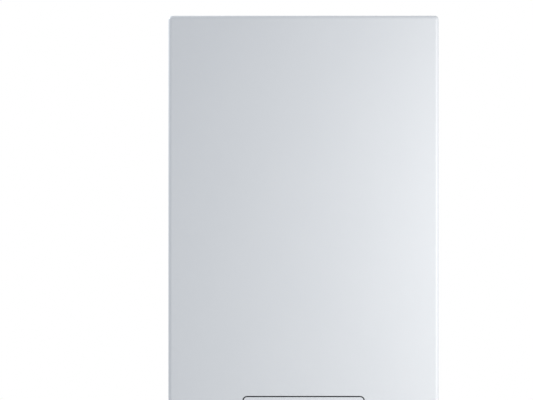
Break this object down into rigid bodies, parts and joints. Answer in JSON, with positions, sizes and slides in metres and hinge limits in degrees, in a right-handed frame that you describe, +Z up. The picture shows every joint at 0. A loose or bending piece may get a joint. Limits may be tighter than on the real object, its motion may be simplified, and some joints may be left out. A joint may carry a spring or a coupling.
{
  "type": "electric boiler",
  "caption": "Wall-hung electric boiler with a plain sheet-steel casing, a fold-down control flap, and its heater vessel, pump, expansion vessel and controls inside.",
  "frame": {"origin": "middle of the two wall screws, on the plane of the wall", "axes": "+X to the right seen from the front, +Y into the wall, +Z up; the front faces -Y"},
  "size_m": [0.41, 0.31, 0.774],
  "materials": {
    "casing_paint": "pale silver-white satin powder coat",
    "flap_plastic": "painted to match the casing, satin",
    "zinc_steel": "zinc-plated sheet",
    "bright_steel": "plated, bright",
    "stainless": "brushed stainless",
    "element_steel": "nickel-alloy tube, slightly heat tinted",
    "dark_plastic": "fine grain, matt",
    "black_plastic": "matt",
    "grey_plastic": "moulded, matt",
    "fascia_plastic": "fine grain, matt",
    "knob_plastic": "satin grey",
    "button_plastic": "satin grey",
    "reset_plastic": "satin red",
    "rocker_plastic": "gloss black",
    "lamp_plastic": "tinted, glossy",
    "clear_lens": "clear",
    "dial_white": "printed, matt",
    "needle_black": "matt",
    "circuit_board": "solder resist, satin",
    "contactor_plastic": "light grey, matt",
    "terminal_plastic": "grey, matt",
    "gland_plastic": "matt",
    "valve_plastic": "red, glossy",
    "black_rubber": "matt",
    "braided_hose": "steel-braided rubber",
    "foam": "closed-cell foam, matt",
    "brass": "machined",
    "copper": "copper tube, slightly dulled",
    "pump_iron": "cast, painted",
    "motor_paint": "painted, satin",
    "tank_paint": "red enamel"
  },
  "bodies": {
    "boiler": {"wall_rail": "zinc_steel", "back_panel": "zinc_steel", "wall_pads": "black_rubber", "side_panel_left": "casing_paint", "side_panel_right": "casing_paint", "top_panel": "casing_paint", "bottom_panel": "zinc_steel", "cover_pegs": "bright_steel", "control_box": "grey_plastic", "control_box_lid": "grey_plastic", "lid_screws": "bright_steel", "control_fascia": "fascia_plastic", "control_board": "circuit_board", "board_parts": "black_plastic", "display_lens": "clear_lens", "indicator_lights": "lamp_plastic", "rocker_housing": "black_plastic", "gauge_case": "black_plastic", "gauge_dial": "dial_white", "gauge_lens": "clear_lens", "mounting_rail": "zinc_steel", "contactors": "contactor_plastic", "terminal_block": "terminal_plastic", "power_board": "circuit_board", "heater_vessel": "stainless", "vessel_insulation": "foam", "vessel_brackets": "zinc_steel", "flange_gasket": "black_rubber", "element_flange": "bright_steel", "heating_elements": "element_steel", "flange_bolts": "bright_steel", "element_cap": "black_plastic", "vessel_sensors": "brass", "air_vent": "brass", "pump_housing": "pump_iron", "pump_motor": "motor_paint", "expansion_tank": "tank_paint", "tank_membrane": "black_rubber", "expansion_hose": "braided_hose", "flow_pipe": "copper", "return_pipe": "copper", "transfer_pipe": "copper", "union_nuts": "brass", "safety_valve": "brass", "cable_glands": "gland_plastic"},
    "cover": {"front_cover": "casing_paint", "flap_bezel": "dark_plastic", "flap_pins": "bright_steel"},
    "flap": {"control_flap": "flap_plastic"},
    "heating_knob": {"heating_knob": "knob_plastic"},
    "water_knob": {"water_knob": "knob_plastic"},
    "button_info": {"button_info": "button_plastic"},
    "button_minus": {"button_minus": "button_plastic"},
    "button_plus": {"button_plus": "button_plastic"},
    "button_reset": {"button_reset": "reset_plastic"},
    "power_rocker": {"power_rocker": "rocker_plastic"},
    "gauge_needle": {"gauge_needle": "needle_black"},
    "pump_rotor": {"pump_rotor": "bright_steel"},
    "safety_valve_cap": {"safety_valve_cap": "valve_plastic"},
    "air_vent_cap": {"air_vent_cap": "black_plastic"}
  },
  "joints": [
    {"name": "cover_slide", "type": "slide", "parent": "boiler", "child": "cover", "axis": [0, -1, 0], "range_m": [0, 0.3]},
    {"name": "flap_hinge", "type": "hinge", "parent": "cover", "child": "flap", "pos_m": [0, -0.303, -0.622], "axis": [1, 0, 0], "range_deg": [0, 95]},
    {"name": "heating_knob_turn", "type": "hinge", "parent": "boiler", "child": "heating_knob", "pos_m": [-0.058, -0.291, -0.548], "axis": [0, 1, 0], "range_deg": [-135, 135]},
    {"name": "water_knob_turn", "type": "hinge", "parent": "boiler", "child": "water_knob", "pos_m": [-0.058, -0.291, -0.598], "axis": [0, 1, 0], "range_deg": [-135, 135]},
    {"name": "button_info_press", "type": "slide", "parent": "boiler", "child": "button_info", "axis": [0, 1, 0], "range_m": [0, 0.0015], "stiffness_N_per_m": 800},
    {"name": "button_minus_press", "type": "slide", "parent": "boiler", "child": "button_minus", "axis": [0, 1, 0], "range_m": [0, 0.0015], "stiffness_N_per_m": 800},
    {"name": "button_plus_press", "type": "slide", "parent": "boiler", "child": "button_plus", "axis": [0, 1, 0], "range_m": [0, 0.0015], "stiffness_N_per_m": 800},
    {"name": "button_reset_press", "type": "slide", "parent": "boiler", "child": "button_reset", "axis": [0, 1, 0], "range_m": [0, 0.0015], "stiffness_N_per_m": 800},
    {"name": "power_rocker_tilt", "type": "hinge", "parent": "boiler", "child": "power_rocker", "pos_m": [0.058, -0.287, -0.6], "axis": [1, 0, 0], "range_deg": [-20, 0]},
    {"name": "gauge_needle_turn", "type": "hinge", "parent": "boiler", "child": "gauge_needle", "pos_m": [0.058, -0.2876, -0.548], "axis": [0, 1, 0], "range_deg": [0, 270], "stiffness_Nm_per_rad": 0.0005},
    {"name": "pump_rotor_spin", "type": "hinge", "parent": "boiler", "child": "pump_rotor", "pos_m": [0.052, -0.188, -0.438], "axis": [0, 1, 0], "continuous": true},
    {"name": "safety_valve_cap_turn", "type": "hinge", "parent": "boiler", "child": "safety_valve_cap", "pos_m": [0.112, -0.188, -0.551], "axis": [0, 0, 1], "range_deg": [0, 90]},
    {"name": "air_vent_cap_turn", "type": "hinge", "parent": "boiler", "child": "air_vent_cap", "pos_m": [-0.045, -0.188, 0.007], "axis": [0, 0, 1], "range_deg": [0, 360]}
  ]
}
